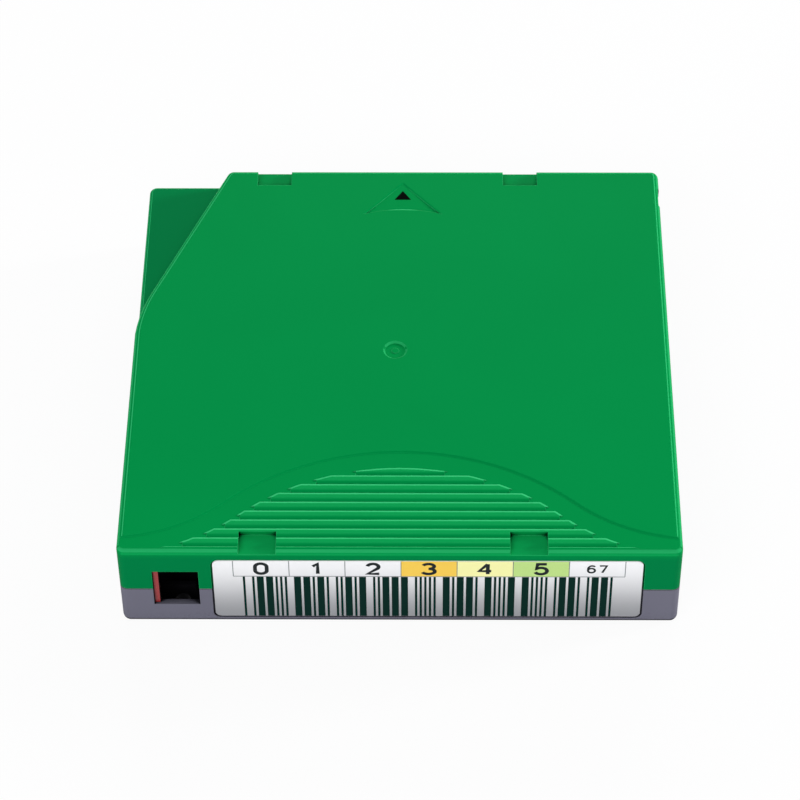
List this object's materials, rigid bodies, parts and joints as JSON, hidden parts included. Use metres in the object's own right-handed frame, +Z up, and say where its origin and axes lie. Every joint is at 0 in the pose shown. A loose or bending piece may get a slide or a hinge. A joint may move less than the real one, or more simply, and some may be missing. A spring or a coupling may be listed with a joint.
{
  "type": "data tape cartridge",
  "caption": "Flat two-tone cartridge with one tape reel, a ribbed grip zone, a label face, a write-protect switch and a sliding door for the leader pin.",
  "frame": {"origin": "middle of the underside", "axes": "+X along the label face, +Y from the label face to the insertion end, +Z up"},
  "size_m": [0.1054, 0.102, 0.0215],
  "materials": {
    "shell_green": "fine matte moulded texture",
    "shell_grey": "fine matte moulded texture",
    "screw_steel": "zinc plated",
    "label_film": "satin printed film",
    "switch_red": "moulded",
    "board_green": "solder mask",
    "antenna_copper": "etched",
    "chip_black": "moulded",
    "pin_steel": "turned",
    "clip_plastic": "moulded",
    "retainer_steel": "spring steel",
    "tape_film": "coated film",
    "door_grey": "moulded",
    "door_spring_steel": "spring steel",
    "hub_plastic": "moulded",
    "flange_plastic": "moulded",
    "plate_steel": "stamped",
    "tape_roll": "wound tape",
    "button_plastic": "moulded",
    "spider_plastic": "moulded",
    "brake_spring_steel": "spring steel"
  },
  "bodies": {
    "case": {"upper_shell": "shell_green", "lower_shell": "shell_grey", "case_screws": "screw_steel", "barcode_label": "label_film", "memory_board": "board_green", "memory_antenna": "antenna_copper", "memory_chip": "chip_black", "leader_pin": "pin_steel", "leader_pin_clip": "clip_plastic", "pin_retainer_springs": "retainer_steel", "tape_leader": "tape_film", "door_spring": "door_spring_steel", "brake_spring": "brake_spring_steel"},
    "reel": {"reel_hub": "hub_plastic", "reel_upper_flange": "flange_plastic", "reel_plate": "plate_steel", "tape_pack": "tape_roll"},
    "spider": {"brake_spider": "spider_plastic"},
    "brake": {"brake_button": "button_plastic"},
    "door": {"door": "door_grey"},
    "switch": {"write_protect_switch": "switch_red"}
  },
  "joints": [
    {"name": "reel_spin", "type": "hinge", "parent": "case", "child": "reel", "pos_m": [-0.0012, 0, 0], "axis": [0, 0, 1], "continuous": true},
    {"name": "brake_lift", "type": "slide", "parent": "case", "child": "brake", "axis": [0, 0, 1], "range_m": [0, 0.0018], "stiffness_N_per_m": 200, "springref_m": -0.02, "deforming": ["brake_spring"]},
    {"name": "spider_lift", "type": "slide", "parent": "reel", "child": "spider", "axis": [0, 0, 1], "range_m": [0, 0.0018]},
    {"name": "door_slide", "type": "slide", "parent": "case", "child": "door", "axis": [0, -1, 0], "range_m": [0, 0.011], "stiffness_N_per_m": 30, "springref_m": -0.015, "deforming": ["door_spring"]},
    {"name": "write_switch_slide", "type": "slide", "parent": "case", "child": "switch", "axis": [1, 0, 0], "range_m": [0, 0.007]}
  ],
  "couplings": [
    {"joint": "spider_lift", "follows": "brake_lift", "ratio": 1}
  ]
}
